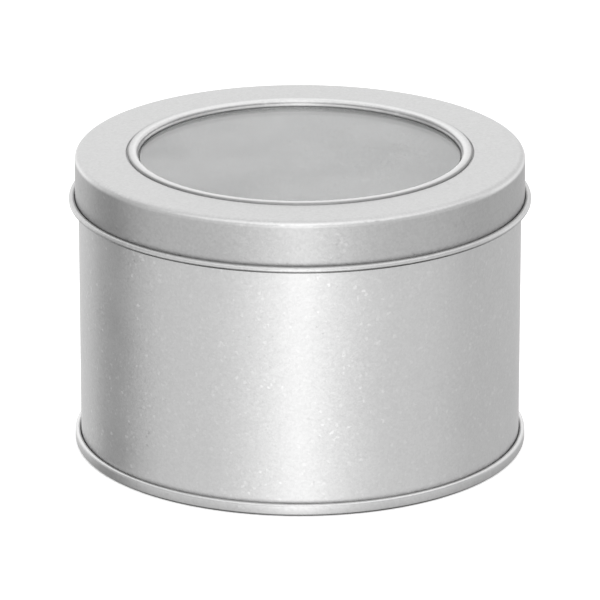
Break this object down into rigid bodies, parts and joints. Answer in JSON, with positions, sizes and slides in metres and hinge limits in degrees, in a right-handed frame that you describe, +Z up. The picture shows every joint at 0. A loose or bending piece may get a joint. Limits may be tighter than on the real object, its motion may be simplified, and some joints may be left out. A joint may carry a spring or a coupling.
{
  "type": "candle tin",
  "caption": "Round tinplate candle tin, empty, with a straight rolled wall, a seamed base and a slip lid that has a clear window held by a ring and lifts straight off.",
  "frame": {"origin": "on the tin's axis, in the plane that its base stands on", "axes": "+Z up along the tin's axis, the way the lid lifts; -Y is the front, and the wall's side seam is at the right and a little behind, 112 degrees from the front towards +X"},
  "size_m": [0.0836, 0.0836, 0.0549],
  "materials": {
    "satin_tinplate": "satin silver metallic coating with a fine fleck",
    "bright_tinplate": "plain bright tinplate",
    "sealing_compound": "matt, soft",
    "clear_plastic": "clear, glossy"
  },
  "bodies": {
    "can": {"body_wall": "satin_tinplate", "base_plate": "satin_tinplate", "seam_compound": "sealing_compound"},
    "lid": {"lid_shell": "satin_tinplate", "window_pane": "clear_plastic", "window_retaining_ring": "bright_tinplate"}
  },
  "joints": [
    {"name": "lid_lift", "type": "slide", "parent": "can", "child": "lid", "axis": [0, 0, 1], "range_m": [0, 0.04]}
  ]
}
